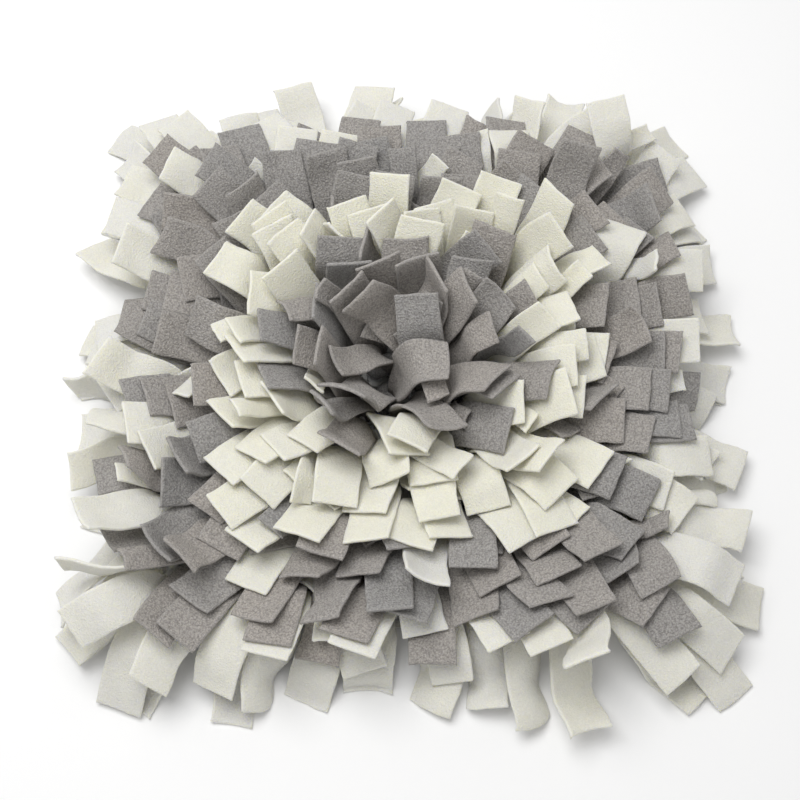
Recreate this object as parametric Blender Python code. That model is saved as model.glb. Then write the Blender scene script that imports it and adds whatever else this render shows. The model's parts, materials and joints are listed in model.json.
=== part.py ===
"""Snuffle mat: fleece strips knotted through a square net, in rings of grey and cream.

Run with: blender --background --python part.py
Metres, +Z up. The origin is on the floor, under the middle of the net.

The net carries 12 by 12 knots. Every knot holds the middle of one fleece strip, whose two
tails stand up from it and flop outwards. The knots of one square ring are one solid: a thin
layer of knots with the ring's tails fused into it at their roots and free everywhere else.
"""

import math
import random
from collections import namedtuple

import bmesh
import bpy
from mathutils import Vector
from mathutils.bvhtree import BVHTree
from mathutils.geometry import delaunay_2d_cdt

# Driving dimensions
KNOT_PITCH = 0.028  # from knot to knot, both ways
STRIP_WIDTH = 0.030
STRIP_THICK = 0.0022
TAIL_LENGTH = 0.068  # from the knot to the cut end
GATHERED_WIDTH = 0.013  # a strip where it leaves its knot
GATHERED_THICK = 0.0036
NET_THICK = 0.005
NET_MARGIN = 0.002  # net beyond the outermost knots
NET_CHAMFER = 0.0012
FIT_GAP = 0.0003  # between pieces that touch
KNOT_LAYER = 0.0060
KNOT_CROWN = 0.0015  # how far a knot's top stands above the layer's edge
FLOOR_SLACK = 0.00002  # rounding of a tail that lies on the floor
RING_GAP = 0.0010  # between the knot layers of two rings
TAIL_GAP = 0.0007  # least clear space between two tails

# One row for each square ring of knots, from the middle outwards. leave is the rise of the
# outer tails at their knots, outer_tip and inner_tip the slopes at which the ends of the outer
# and the inner tails would like to lie, bend how soon they turn over, wander how far their
# direction strays, swing the step in which they turn aside to find room, and roll how far
# they tilt to one side, all in degrees.
Ring = namedtuple("Ring", "name fleece leave outer_tip inner_tip bend wander swing roll length")
RINGS = (
    Ring("ring_1_grey", "grey", 86, 34, 12, 0.5, 26, 20, 20, 1.12),
    Ring("ring_2_grey", "grey", 80, 8, 46, 0.7, 44, 16, 26, 1.04),
    Ring("ring_3_cream", "cream", 60, 0, 8, 1.1, 20, 12, 16, 1.00),
    Ring("ring_4_grey", "grey", 48, -12, 0, 1.8, 18, 12, 14, 1.00),
    Ring("ring_5_grey", "grey", 42, -26, -20, 2.0, 18, 12, 12, 1.00),
    Ring("ring_6_cream", "cream", 42, -46, -34, 2.2, 14, 12, 8, 1.02),
)
FAR_LIFT = 24  # degrees that the ends stand higher on the far side, +Y
WHIRL = 140  # degrees that the four middlemost tails turn from outwards, to close the middle

# Plain colours for the two fleeces and the net
FINISH = {
    "grey": ((0.30, 0.285, 0.28, 1.0), 0.95),
    "cream": ((0.80, 0.79, 0.70, 1.0), 0.95),
    "net": ((0.78, 0.78, 0.76, 1.0), 0.7),
}

SEED = 24
STATIONS = (0.0, 0.14, 0.31, 0.52, 0.76, 1.0)  # where a tail's sections lie along its length
WIDTH_AT = (0.0, 0.30, 0.80, 1.0, 1.0, 0.98)  # from gathered, 0, to the full width, 1
INNER_LEAVE = 28  # degrees that a knot's inner tail leaves it more steeply than its outer one
SPLAY = 11  # degrees that each tail of a knot turns to its own side
ROOT_OFFSET = 0.0058  # each tail's root from the middle of its knot
FAN_POWER = 2.0  # 1 fans the tails out like spokes, more keeps them square to the sides
MOST_DOWN = 44  # degrees that a tail bends down from one stretch to the next
MOST_UP = 24  # and up
RISE_STEP = 5
TURNS = (0, -10, 10, -20, 20)  # degrees a stretch may roll to lie on what is under it
MOST_TWIST = 26  # degrees of roll from one section to the next
SWINGS = (0, -1, 1, -2, 2, -3, 3)  # turns aside, in steps of the ring's swing
HIGH = 0.006  # how far above its own shape a tail may lie before it swings
SWING_COST = 0.017  # height that a swing of one radian is worth
MOST_TRIES = 260

# How a tail is fitted in, from the first choice to the last: how much more steeply it leaves
# its knot, in degrees, how many times further it may turn aside, and the share of its width
# and of its length that is kept, for a strip that has folded or pulled short.
Fit = namedtuple("Fit", "lift aside width length")
FITS = (
    Fit(0, 1, 1.0, 1.0),
    Fit(14, 1, 1.0, 1.0),
    Fit(28, 1, 1.0, 1.0),
    Fit(14, 1, 0.72, 1.0),
    Fit(0, 1, 0.5, 1.0),
    Fit(28, 1, 0.5, 1.0),
    Fit(42, 1, 0.5, 1.0),
    Fit(14, 2, 0.5, 0.8),
    Fit(42, 4, 0.5, 0.6),
)

Tail = namedtuple("Tail", "root yaw swing root_rise tip_rise bend length width rolls")


def knots_of(ring_index):
    """The middles of a square ring's knots, in order round the ring."""
    half = (ring_index + 0.5) * KNOT_PITCH
    count = 2 * ring_index + 1
    spots = []
    for side in range(4):
        turn = side * math.pi / 2
        cos_t, sin_t = math.cos(turn), math.sin(turn)
        for i in range(count):
            x, y = half, -half + i * KNOT_PITCH
            spots.append((x * cos_t - y * sin_t, x * sin_t + y * cos_t))
    return spots


def outward(x, y):
    """Which way a knot's tails fall, as an angle: square to the side, turning at corners."""
    fan_x = math.copysign(abs(x) ** FAN_POWER, x)
    fan_y = math.copysign(abs(y) ** FAN_POWER, y)
    return math.atan2(fan_y, fan_x)


def tails_of(ring_index, rng):
    """A ring's tails before they are laid down: the outer tails of its knots, then the inner."""
    ring = RINGS[ring_index]
    tails = []
    for inner in (False, True):
        layer = []
        tip = ring.inner_tip if inner else ring.outer_tip
        for x, y in knots_of(ring_index):
            way = outward(x, y) + (math.radians(WHIRL) if inner and ring_index == 0 else 0)
            turn = rng.choice((-1, 1)) * SPLAY + rng.uniform(-1, 1) * ring.wander
            shift = -ROOT_OFFSET if inner and ring_index else ROOT_OFFSET
            roll = rng.uniform(-1, 1) * ring.roll
            layer.append(
                Tail(
                    root=Vector((x + shift * math.cos(way), y + shift * math.sin(way), knot_top())),
                    yaw=way + math.radians(turn),
                    swing=math.radians(ring.swing),
                    root_rise=min(86, ring.leave + (INNER_LEAVE if inner else 0)),
                    tip_rise=tip + FAR_LIFT * max(0, math.sin(way)) + rng.uniform(-7, 7),
                    bend=ring.bend * rng.uniform(0.85, 1.15),
                    length=TAIL_LENGTH * ring.length * rng.uniform(0.93, 1.07),
                    width=STRIP_WIDTH * rng.uniform(0.94, 1.06),
                    rolls=(roll, roll + rng.uniform(-1, 1) * ring.roll),
                )
            )
        rng.shuffle(layer)
        tails += layer
    return tails


def layer_bottom():
    return NET_THICK + FIT_GAP


def knot_top():
    return layer_bottom() + KNOT_LAYER + KNOT_CROWN


def axes(yaw, rise, roll):
    """(along, across, normal) of a strip that runs towards yaw at a rise, in degrees."""
    cos_y, sin_y = math.cos(yaw), math.sin(yaw)
    cos_r, sin_r = math.cos(math.radians(rise)), math.sin(math.radians(rise))
    along = Vector((cos_r * cos_y, cos_r * sin_y, sin_r))
    level = Vector((-sin_y, cos_y, 0))
    above = Vector((-sin_r * cos_y, -sin_r * sin_y, cos_r))
    cos_o, sin_o = math.cos(math.radians(roll)), math.sin(math.radians(roll))
    return along, level * cos_o + above * sin_o, above * cos_o - level * sin_o


def section(tail, i, point, rise, roll):
    """(middle, across, normal, half width, half thickness) of a tail's section number i."""
    _, across, normal = axes(tail.yaw, rise, roll)
    share = WIDTH_AT[i]
    half_width = (GATHERED_WIDTH + (tail.width - GATHERED_WIDTH) * share) / 2
    half_thick = (GATHERED_THICK + (STRIP_THICK - GATHERED_THICK) * min(1, 1.2 * share)) / 2
    return point, across, normal, half_width, half_thick


def laid_down(tail, tree):
    """The lowest way for a tail to lie that is clear of the tree: (sections, height), or None.

    It is laid stretch by stretch from its root. Each stretch takes the lowest rise that is
    free, no lower than the one it would like, and a dead end steps back to the one before.
    The height is how far the middles of its sections lie above where they would like to be.
    """
    tries = [0]

    def free_rise(i, before, roll, lowest, highest, level):
        """(rise, roll, section) for the lowest free rise of the stretch up to section i."""
        rise = lowest
        near = corners(before, TAIL_GAP)
        while rise <= highest:
            tries[0] += 1
            if rise <= level + 0.01:
                roll = 0.0
            along, _, _ = axes(tail.yaw, rise, 0)
            middle = before[0] + along * (STATIONS[i] - STATIONS[i - 1]) * tail.length
            made = section(tail, i, middle, rise, roll)
            if min(p.z for p in corners(made)) > -FLOOR_SLACK:
                if not tree.overlap(BVHTree.FromPolygons(*tube([near, corners(made, TAIL_GAP)]))):
                    return rise, roll, made
            rise += RISE_STEP
        return None

    def lay(i, made, last_rise, last_roll):
        if i == len(STATIONS):
            return made
        step = (STATIONS[i] - STATIONS[i - 1]) * tail.length
        drop = (STRIP_THICK / 2 - made[-1][0].z) / step
        level = math.degrees(math.asin(max(-1.0, min(0.0, drop))))
        lowest = max(wish_rise(tail, i), last_rise - MOST_DOWN, level)
        highest = min(88, max(last_rise + MOST_UP, lowest))
        wish_roll = tail.rolls[0] + (tail.rolls[1] - tail.rolls[0]) * STATIONS[i]
        options = []
        for turn in TURNS:
            roll = max(last_roll - MOST_TWIST, min(last_roll + MOST_TWIST, wish_roll + turn))
            found = free_rise(i, made[-1], roll, lowest, highest, level)
            if found:
                options.append((found[0] + 0.2 * abs(turn), found))
                if found[0] <= lowest + RISE_STEP:
                    break
        for _, (rise, roll, next_one) in sorted(options, key=lambda option: option[0]):
            found = lay(i + 1, made + [next_one], rise, roll)
            if found or tries[0] > MOST_TRIES:
                return found
        return None

    root = section(tail, 0, tail.root, 90, tail.rolls[0])
    made = lay(1, [root], tail.root_rise, tail.rolls[0])
    if not made:
        return None
    wished = excess = 0.0
    for i in range(1, len(STATIONS)):
        step = (STATIONS[i] - STATIONS[i - 1]) * tail.length
        wished = max(wished + step * math.sin(math.radians(wish_rise(tail, i))), -tail.root.z)
        excess += (made[i][0].z - tail.root.z - wished) / (len(STATIONS) - 1)
    return made, excess


def best_place(tail, tree):
    """The sections of a tail in the lowest free place near its own, or None.

    It may swing round its root, leave its knot more steeply, and last of all be narrower.
    """
    for fit in FITS:
        best = None
        for swing in SWINGS:
            moved = tail._replace(
                yaw=tail.yaw + swing * fit.aside * tail.swing,
                root_rise=min(86, tail.root_rise + fit.lift),
                width=tail.width * fit.width,
                length=tail.length * fit.length,
            )
            found = laid_down(moved, tree)
            if found:
                cost = found[1] + SWING_COST * abs(swing * tail.swing)
                if best is None or cost < best[0]:
                    best = (cost, found[0])
                if found[1] < HIGH:
                    break
        if best:
            return best[1]
    return None


def wish_rise(tail, i):
    """The rise that a tail would take between sections i - 1 and i if nothing were in its way."""
    t = (STATIONS[i] + STATIONS[i - 1]) / 2
    return tail.tip_rise + (tail.root_rise - tail.tip_rise) * (1 - t) ** tail.bend


def corners(section, extra=0.0):
    """The four corners of a section, made larger all round by extra."""
    middle, across, normal, half_width, half_thick = section
    wide = across * (half_width + extra)
    thick = normal * (half_thick + extra)
    return [middle - wide - thick, middle + wide - thick, middle + wide + thick, middle - wide + thick]


def tube(rings_of_corners):
    """(points, triangles) of a closed four-sided tube through sections' corners."""
    points = [p for four in rings_of_corners for p in four]
    faces = [(3, 2, 1), (3, 1, 0)]
    for i in range(len(rings_of_corners) - 1):
        for j in range(4):
            a, b = 4 * i + j, 4 * i + (j + 1) % 4
            faces += [(a, b, b + 4), (a, b + 4, a + 4)]
    last = 4 * (len(rings_of_corners) - 1)
    faces += [(last, last + 1, last + 2), (last, last + 2, last + 3)]
    return points, faces


def lay_tails():
    """Lays every tail as low as the ones already down allow, from the outer ring inwards.

    Returns, for each ring, the sections of its tails.
    """
    rng = random.Random(SEED)
    reach = 2.4 * TAIL_LENGTH
    laid = []
    by_ring = [[] for _ in RINGS]
    for ring_index in reversed(range(len(RINGS))):
        for tail in tails_of(ring_index, rng):
            points, faces = mat_box()
            for root, tail_points, tail_faces in laid:
                if (root - tail.root).length < reach:
                    faces += [tuple(i + len(points) for i in f) for f in tail_faces]
                    points += tail_points
            tree = BVHTree.FromPolygons(points, faces)
            made = best_place(tail, tree)
            if made is None:
                raise ValueError(f"no free place for a tail of {RINGS[ring_index].name}")
            laid.append((tail.root, *tube([corners(s) for s in made])))
            by_ring[ring_index].append(made)
    return by_ring


def mat_box():
    """The knot layers and the net as one closed box, for the tails to stay clear of."""
    half = len(RINGS) * KNOT_PITCH
    return tube([square(half, 0), square(half, knot_top() - 0.0001)])


def material(name):
    """A plain material for one of the finishes."""
    colour, roughness = FINISH[name]
    made = bpy.data.materials.new(name)
    made.use_nodes = True
    made.diffuse_color = colour
    shader = made.node_tree.nodes["Principled BSDF"]
    shader.inputs["Base Color"].default_value = colour
    shader.inputs["Roughness"].default_value = roughness
    shader.inputs["Metallic"].default_value = 0.0
    return made


def add_object(name, points, faces, finish):
    mesh = bpy.data.meshes.new(name)
    mesh.from_pydata([tuple(p) for p in points], [], faces)
    mesh.materials.append(finish)
    made = bpy.data.objects.new(name, mesh)
    bpy.context.scene.collection.objects.link(made)
    return made


def square(half, z):
    return [Vector((half, -half, z)), Vector((half, half, z)), Vector((-half, half, z)), Vector((-half, -half, z))]


def inside(point, outline):
    """Whether a point is inside a convex outline that runs anticlockwise, seen from above."""
    for a, b in zip(outline, outline[1:] + outline[:1]):
        if (b.x - a.x) * (point.y - a.y) - (b.y - a.y) * (point.x - a.x) < 0:
            return False
    return True


def build_ring(ring_index, tails, finish):
    """One ring: its layer of knots, with the tails growing out of the layer's top."""
    outer = (ring_index + 1) * KNOT_PITCH - RING_GAP / 2
    inner = ring_index * KNOT_PITCH + RING_GAP / 2
    edge_top = layer_bottom() + KNOT_LAYER
    outlines = [square(outer, edge_top)]
    if ring_index:
        outlines.append(square(inner, edge_top))
    roots = [corners(made[0]) for made in tails]
    points = [p for outline in outlines for p in outline]
    edges = []
    for start in range(0, len(points), 4):
        edges += [(start + i, start + (i + 1) % 4) for i in range(4)]
    for four in roots:
        start = len(points)
        edges += [(start + i, start + (i + 1) % 4) for i in range(4)]
        points += four
    flat_points, _, triangles, _, _, _ = delaunay_2d_cdt([p.xy for p in points], edges, [], 0, 1e-9)
    if len(flat_points) != len(points):
        raise ValueError(f"two roots of {RINGS[ring_index].name} touch")
    holes = [list(four) for four in roots]
    holes = [h if turns_left(h) else h[::-1] for h in holes]
    if ring_index:
        holes.append(outlines[1])
    faces = []
    for triangle in triangles:
        centre = sum((points[i] for i in triangle), Vector()) / 3
        if not any(inside(centre, hole) for hole in holes):
            faces.append(tuple(triangle) if turns_left([points[i] for i in triangle]) else tuple(triangle)[::-1])
    bottom = layer_bottom()
    start = len(points)
    points += [Vector((p.x, p.y, bottom)) for outline in outlines for p in outline]
    for i in range(4):
        j = (i + 1) % 4
        faces.append((start + i, start + j, j, i))
        if ring_index:
            faces.append((4 + i, 4 + j, start + 4 + j, start + 4 + i))
            faces.append((start + j, start + i, start + 4 + i, start + 4 + j))
    if not ring_index:
        faces.append((start + 3, start + 2, start + 1, start))
    first_root = 4 * len(outlines)
    for n, made in enumerate(tails):
        tube_points, tube_faces = tube([corners(s) for s in made])
        base = len(points)
        points += tube_points[4:]
        for face in tube_faces[2:]:
            faces.append(tuple(first_root + 4 * n + i if i < 4 else base + i - 4 for i in face))
    made_object = add_object(RINGS[ring_index].name, points, faces, finish)
    clean = bmesh.new()
    clean.from_mesh(made_object.data)
    bmesh.ops.recalc_face_normals(clean, faces=clean.faces)
    clean.to_mesh(made_object.data)
    clean.free()
    return made_object


def turns_left(outline):
    """Whether an outline runs anticlockwise, seen from above."""
    area = sum(a.x * b.y - b.x * a.y for a, b in zip(outline, outline[1:] + outline[:1]))
    return area > 0


def build_net(finish):
    """The square net that the knots are tied through, as one flat slab."""
    half = len(RINGS) * KNOT_PITCH + NET_MARGIN
    lower = half - NET_CHAMFER
    rows = [square(lower, 0), square(half, NET_CHAMFER), square(half, NET_THICK)]
    points = [p for row in rows for p in row]
    faces = [(3, 2, 1, 0), (8, 9, 10, 11)]
    for start in (0, 4):
        for i in range(4):
            j = (i + 1) % 4
            faces.append((start + i, start + j, start + 4 + j, start + 4 + i))
    return add_object("net", points, faces, finish)


def main():
    for old in list(bpy.data.objects):
        bpy.data.objects.remove(old)
    finishes = {name: material(name) for name in FINISH}
    build_net(finishes["net"])
    for ring_index, tails in enumerate(lay_tails()):
        build_ring(ring_index, tails, finishes[RINGS[ring_index].fleece])


main()
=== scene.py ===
"""Snuffle mat: fleece strips knotted through an open net, in square rings of grey and cream.

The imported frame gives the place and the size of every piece. Lengths are in metres, +Z up,
and the near side of the mat is -Y. Every strip is tied at its knot, laid over the strips
that are already down, and then given the curl of cut fleece as far as its neighbours allow.
"""

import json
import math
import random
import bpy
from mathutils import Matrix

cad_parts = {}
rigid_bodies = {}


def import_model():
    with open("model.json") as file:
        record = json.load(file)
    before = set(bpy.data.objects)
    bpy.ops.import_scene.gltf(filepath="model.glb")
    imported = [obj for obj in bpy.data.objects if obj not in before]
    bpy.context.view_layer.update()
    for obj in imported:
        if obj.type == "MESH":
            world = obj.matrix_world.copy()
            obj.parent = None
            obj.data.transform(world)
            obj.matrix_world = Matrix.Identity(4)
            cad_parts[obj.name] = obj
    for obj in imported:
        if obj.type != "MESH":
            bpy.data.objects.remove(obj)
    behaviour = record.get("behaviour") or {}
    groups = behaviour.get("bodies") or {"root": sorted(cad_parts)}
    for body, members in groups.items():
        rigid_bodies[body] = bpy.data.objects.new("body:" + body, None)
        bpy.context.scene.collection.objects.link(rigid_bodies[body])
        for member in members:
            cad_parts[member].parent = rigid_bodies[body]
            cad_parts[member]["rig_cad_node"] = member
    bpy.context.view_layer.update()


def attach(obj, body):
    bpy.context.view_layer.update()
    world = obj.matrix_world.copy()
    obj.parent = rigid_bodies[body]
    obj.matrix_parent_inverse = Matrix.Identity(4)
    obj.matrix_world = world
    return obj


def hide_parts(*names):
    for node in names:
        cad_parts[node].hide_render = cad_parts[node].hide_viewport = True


bl_info = {
    "name": "Snuffle mat",
    "version": (1, 0, 0),
    "blender": (4, 5, 0),
    "location": "3D Viewport > Sidebar > Snuffle mat",
    "description": "Makes the net, the knotted fleece strips and the stage of a snuffle mat",
    "category": "Add Mesh",
}

from collections import namedtuple
from functools import partial

import bpy
import numpy as np
from bpy.props import FloatProperty, FloatVectorProperty, IntProperty, PointerProperty
from mathutils import Vector
from mathutils.bvhtree import BVHTree

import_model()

# ---- how the strips lie

KNOT_PITCH = 0.028
STRIP_WIDTH = 0.030
STRIP_THICK = 0.0016
TAIL_LENGTH = 0.068
GATHERED_WIDTH = 0.013  # a strip's size where its knot holds it
GATHERED_THICK = 0.0026
LAYER_BOTTOM = 0.0053
KNOT_TOP = 0.0128
BIGHT_HEIGHT = 0.0062
FLOOR_SLACK = 0.00002
MAT_SLACK = 0.0001
TAIL_GAP = 0.0004
NEIGHBOUR_REACH = 2.4 * TAIL_LENGTH

# All angles are in degrees, and a rise is one above the level. A tail leaves its knot at leave
# and ends at a tip, with a late turn where bend is small. Wander, swing and roll are how far it
# strays, length is a share of TAIL_LENGTH, and tones run from the fleece's cool tint to its warm.
Ring = namedtuple("Ring", "name fleece leave outer_tip inner_tip bend wander swing roll length tones")
RINGS = (
    Ring("ring_1_grey", "grey", 86, 34, 12, 0.6, 26, 20, 20, 1.16, (0, 1)),
    Ring("ring_2_grey", "grey", 80, 8, 46, 0.7, 44, 16, 26, 1.10, (0, 1)),
    Ring("ring_3_cream", "cream", 60, 0, 8, 0.8, 20, 12, 16, 1.12, (0.7, 1)),
    Ring("ring_4_grey", "grey", 60, -14, 4, 1.3, 18, 12, 14, 1.00, (0, 1)),
    Ring("ring_5_grey", "grey", 52, -30, -16, 1.6, 18, 12, 12, 0.98, (0, 1)),
    Ring("ring_6_cream", "cream", 46, -46, -34, 2.0, 14, 12, 8, 1.02, (0, 0.5)),
)
# for each ring, how its tails differ towards the far side and towards the near side
FAR_LIFT = (8, 10, 24, 24, 24, 24)
NEAR_DROP = (130, 90, 60, 0, 0, 0)
NEAR_LEAN = (20, 16, 20, 0, 0, 0)
NEAR_LONGER = (0, 0, 0, 0, 0.12, 0)

TIED = 1  # how many of a tail's sections its knot holds, where it may run into others
STEEPEST = 86
WHIRL = 140  # how far the innermost tails turn from their knots' way out

MIDDLE_TAILS = 8
MIDDLE_SPOT = (0.004, 0.010)
MIDDLE_RADIUS = 0.003
MIDDLE_STEP = 0.0011
MIDDLE_TIED = 3
MIDDLE_LENGTH = 0.090
MIDDLE_TIP = -30
MIDDLE_BEND = 0.45
MIDDLE_NEAR_DROP = 60

POKING_SHARE = 0.3  # of the rim's inner tails, except at the far side
POKING_SIDE = 0.3
POKING_TIP = 16
CORNER_FROM = 0.08
CORNER_LENGTH = 1.16
CREAM_FROM = -1.4 * KNOT_PITCH  # the second ring's knots nearer than this carry cream
FULLER_RINGS = ((0, 0), (1, 1), (2, 2), (4, 5))  # whose knots they stand between, and their own
CREAM_SHARE = 0.75
STRAYS = {3: (22, 25), 4: (2, 24)}  # knots of the grey rings that carry cream, by number

SEED = 24
STATIONS = (0.0, 0.14, 0.31, 0.52, 0.76, 1.0)  # where a tail's sections are, along it
STEPS = (0.0, *(b - a for a, b in zip(STATIONS, STATIONS[1:])))
WIDTH_AT = (0.0, 0.30, 0.80, 1.0, 1.0, 0.98)  # how far each has opened from its gathering
WIDTH_SHOWN = (0.15, 0.62, 1.0, 1.0, 1.0, 1.0)
INNER_LEAVE = 28
SPLAY = 11
ROOT_OFFSET = 0.0058
FAN_POWER = 2.0

MOST_DOWN = 44  # a tail's sharpest bends from one section to the next
MOST_UP = 24
MOST_TWIST = 26
RISE_STEP = 5
TURNS = (0, -10, 10, -20, 20)
TURN_COST = 0.2
SWINGS = (0, -1, 1, -2, 2, -3, 3)
SWING_COST = 0.017
HIGH = 0.006
MOST_TRIES = 260
LEVEL_ENOUGH = 0.01

# what is tried in turn to fit a tail: it rises and swings more, and is made smaller
Fit = namedtuple("Fit", "lift aside width length")
FITS = (
    Fit(0, 1, 1, 1),
    Fit(14, 1, 1, 1),
    Fit(28, 1, 1, 1),
    Fit(14, 1, 0.72, 1),
    Fit(0, 1, 0.5, 1),
    Fit(28, 1, 0.5, 1),
    Fit(14, 2, 0.5, 0.8),
    Fit(42, 4, 0.5, 0.6),
)

Tail = namedtuple("Tail", "root yaw swing root_rise tip_rise bend length width rolls tied stray")
Section = namedtuple("Section", "middle across normal half_width half_thick")


def knots_of(ring_index):
    """The middles of a square ring's knots, in order round the ring."""
    half = (ring_index + 0.5) * KNOT_PITCH
    count = 2 * ring_index + 1
    spots = []
    for side in range(4):
        turn = side * math.pi / 2
        cos_t, sin_t = math.cos(turn), math.sin(turn)
        for i in range(count):
            x, y = half, -half + i * KNOT_PITCH
            spots.append((x * cos_t - y * sin_t, x * sin_t + y * cos_t))
    return spots


def piece_of(ring_index, y):
    """The ring whose fleece a knot carries: its own, but for the near row of the second ring."""
    return 2 if ring_index == 1 and y < CREAM_FROM else ring_index


def outward(x, y):
    """Which way a knot's tails fall, as an angle: square to the side, turning at corners."""
    fan_x = math.copysign(abs(x) ** FAN_POWER, x)
    fan_y = math.copysign(abs(y) ** FAN_POWER, y)
    return math.atan2(fan_y, fan_x)


def tail_at(x, y, way, ring_index, inner, shift, rng):
    """A tail before it is laid down, rooted by a knot and falling some way round from it."""
    ring = RINGS[ring_index]
    near, far = max(0, -math.sin(way)), max(0, math.sin(way))
    turn = rng.choice((-1, 1)) * SPLAY + rng.uniform(-1, 1) * ring.wander
    roll = rng.uniform(-1, 1) * ring.roll
    tip = (ring.inner_tip if inner else ring.outer_tip) + FAR_LIFT[ring_index] * far
    longer = 1 + NEAR_LONGER[ring_index] * near
    leave = min(STEEPEST, ring.leave + (INNER_LEAVE if inner else 0))
    return Tail(
        root=Vector((x + shift * math.cos(way), y + shift * math.sin(way), KNOT_TOP)),
        yaw=way + math.radians(turn),
        swing=math.radians(ring.swing),
        root_rise=leave + NEAR_LEAN[ring_index] * near,
        tip_rise=tip - NEAR_DROP[ring_index] * near + rng.uniform(-7, 7),
        bend=ring.bend * rng.uniform(0.85, 1.15),
        length=TAIL_LENGTH * ring.length * longer * rng.uniform(0.93, 1.07),
        width=STRIP_WIDTH * rng.uniform(0.94, 1.06),
        rolls=(roll, roll + rng.uniform(-1, 1) * ring.roll),
        tied=TIED,
        stray=False,
    )


def tails_of(ring_index, rng):
    """(piece, tail) for a ring's tails: the outer tails of its knots, then the inner."""
    tails = []
    for inner in (False, True):
        layer = []
        for number, (x, y) in enumerate(knots_of(ring_index)):
            way = outward(x, y)
            whirls = inner and ring_index == 0
            way += math.radians(WHIRL) if whirls else 0
            shift = -ROOT_OFFSET if inner and not whirls else ROOT_OFFSET
            tail = tail_at(x, y, way, ring_index, inner, shift, rng)
            tail = tail._replace(stray=number in STRAYS.get(ring_index, ()))
            if ring_index == len(RINGS) - 1:
                if inner and math.sin(way) < POKING_SIDE and rng.random() < POKING_SHARE:
                    tail = tail._replace(root_rise=STEEPEST, tip_rise=POKING_TIP)
                if y < -CORNER_FROM and abs(x) > CORNER_FROM:
                    tail = tail._replace(length=tail.length * CORNER_LENGTH)
            layer.append((piece_of(ring_index, y), tail))
        rng.shuffle(layer)
        tails += layer
    return tails


def middle_tails(rng):
    """(piece, tail) for the tails that bloom from the very middle, the far ones first."""
    found = []
    for k in range(MIDDLE_TAILS):
        way = math.tau * (k + 0.5) / MIDDLE_TAILS + math.pi / 2
        radius = MIDDLE_RADIUS + MIDDLE_STEP * (k % 4)
        tail = tail_at(*MIDDLE_SPOT, way, 0, True, radius, rng)
        side = math.sin(way)
        tip = MIDDLE_TIP + FAR_LIFT[0] * max(0, side) + MIDDLE_NEAR_DROP * min(0, side)
        tip += rng.uniform(-10, 10)
        length = MIDDLE_LENGTH * rng.uniform(0.94, 1.06)
        tail = tail._replace(tip_rise=tip, bend=MIDDLE_BEND, length=length, tied=MIDDLE_TIED)
        found.append((0, tail))
    return sorted(found, key=lambda one: -math.sin(one[1].yaw))


def filling_tail(x, y, ring_index, rng):
    return ring_index, tail_at(x, y, outward(x, y), ring_index, True, 0, rng)


def fuller_tails(rng):
    """(piece, tail) for the tails that rise between a ring's knots."""
    found = []
    for beside, ring_index in FULLER_RINGS:
        knots = knots_of(beside)
        for (x, y), (next_x, next_y) in zip(knots, knots[1:] + knots[:1]):
            found.append(filling_tail((x + next_x) / 2, (y + next_y) / 2, ring_index, rng))
    return found


def cell_tails(c, rng):
    """(piece, tail) for the tails that rise midway between ring c's knots and the next ring's."""
    cells = [(i, j) for i in range(-c, c + 1) for j in range(-c, c + 1) if max(abs(i), abs(j)) == c]
    rng.shuffle(cells)
    found = []
    for i, j in cells:
        cream_first = sorted((c - 1, c), key=lambda k: RINGS[k].fleece == "grey")
        ring_index = cream_first[0 if rng.random() < CREAM_SHARE else 1]
        found.append(filling_tail(i * KNOT_PITCH, j * KNOT_PITCH, ring_index, rng))
    return found


def axes(yaw, rise, roll):
    """(along, across, normal) of a strip that runs towards yaw at a rise, in degrees."""
    cos_y, sin_y = math.cos(yaw), math.sin(yaw)
    cos_r, sin_r = math.cos(math.radians(rise)), math.sin(math.radians(rise))
    along = Vector((cos_r * cos_y, cos_r * sin_y, sin_r))
    level = Vector((-sin_y, cos_y, 0))
    above = Vector((-sin_r * cos_y, -sin_r * sin_y, cos_r))
    cos_o, sin_o = math.cos(math.radians(roll)), math.sin(math.radians(roll))
    return along, level * cos_o + above * sin_o, above * cos_o - level * sin_o


def section(tail, i, middle, rise, roll):
    """A tail's section number i."""
    _, across, normal = axes(tail.yaw, rise, roll)
    share = WIDTH_AT[i]
    half_width = (GATHERED_WIDTH + (tail.width - GATHERED_WIDTH) * share) / 2
    half_thick = (GATHERED_THICK + (STRIP_THICK - GATHERED_THICK) * min(1, 1.2 * share)) / 2
    return Section(middle, across, normal, half_width, half_thick)


def corners(cut, extra=0.0):
    """The four corners of a section, made larger all round by extra."""
    wide = cut.across * (cut.half_width + extra)
    thick = cut.normal * (cut.half_thick + extra)
    low, high = cut.middle - wide, cut.middle + wide
    return [low - thick, high - thick, high + thick, low + thick]


def tube(rings_of_corners):
    """(points, triangles) of a closed four-sided tube through sections' corners."""
    points = [p for four in rings_of_corners for p in four]
    faces = [(3, 2, 1), (3, 1, 0)]
    for i in range(len(rings_of_corners) - 1):
        for j in range(4):
            a, b = 4 * i + j, 4 * i + (j + 1) % 4
            faces += [(a, b, b + 4), (a, b + 4, a + 4)]
    last = 4 * (len(rings_of_corners) - 1)
    faces += [(last, last + 1, last + 2), (last, last + 2, last + 3)]
    return points, faces


def wish_rise(tail, i):
    """The rise that a tail would take between sections i - 1 and i if nothing were in its way."""
    t = (STATIONS[i] + STATIONS[i - 1]) / 2
    return tail.tip_rise + (tail.root_rise - tail.tip_rise) * (1 - t) ** tail.bend


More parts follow.
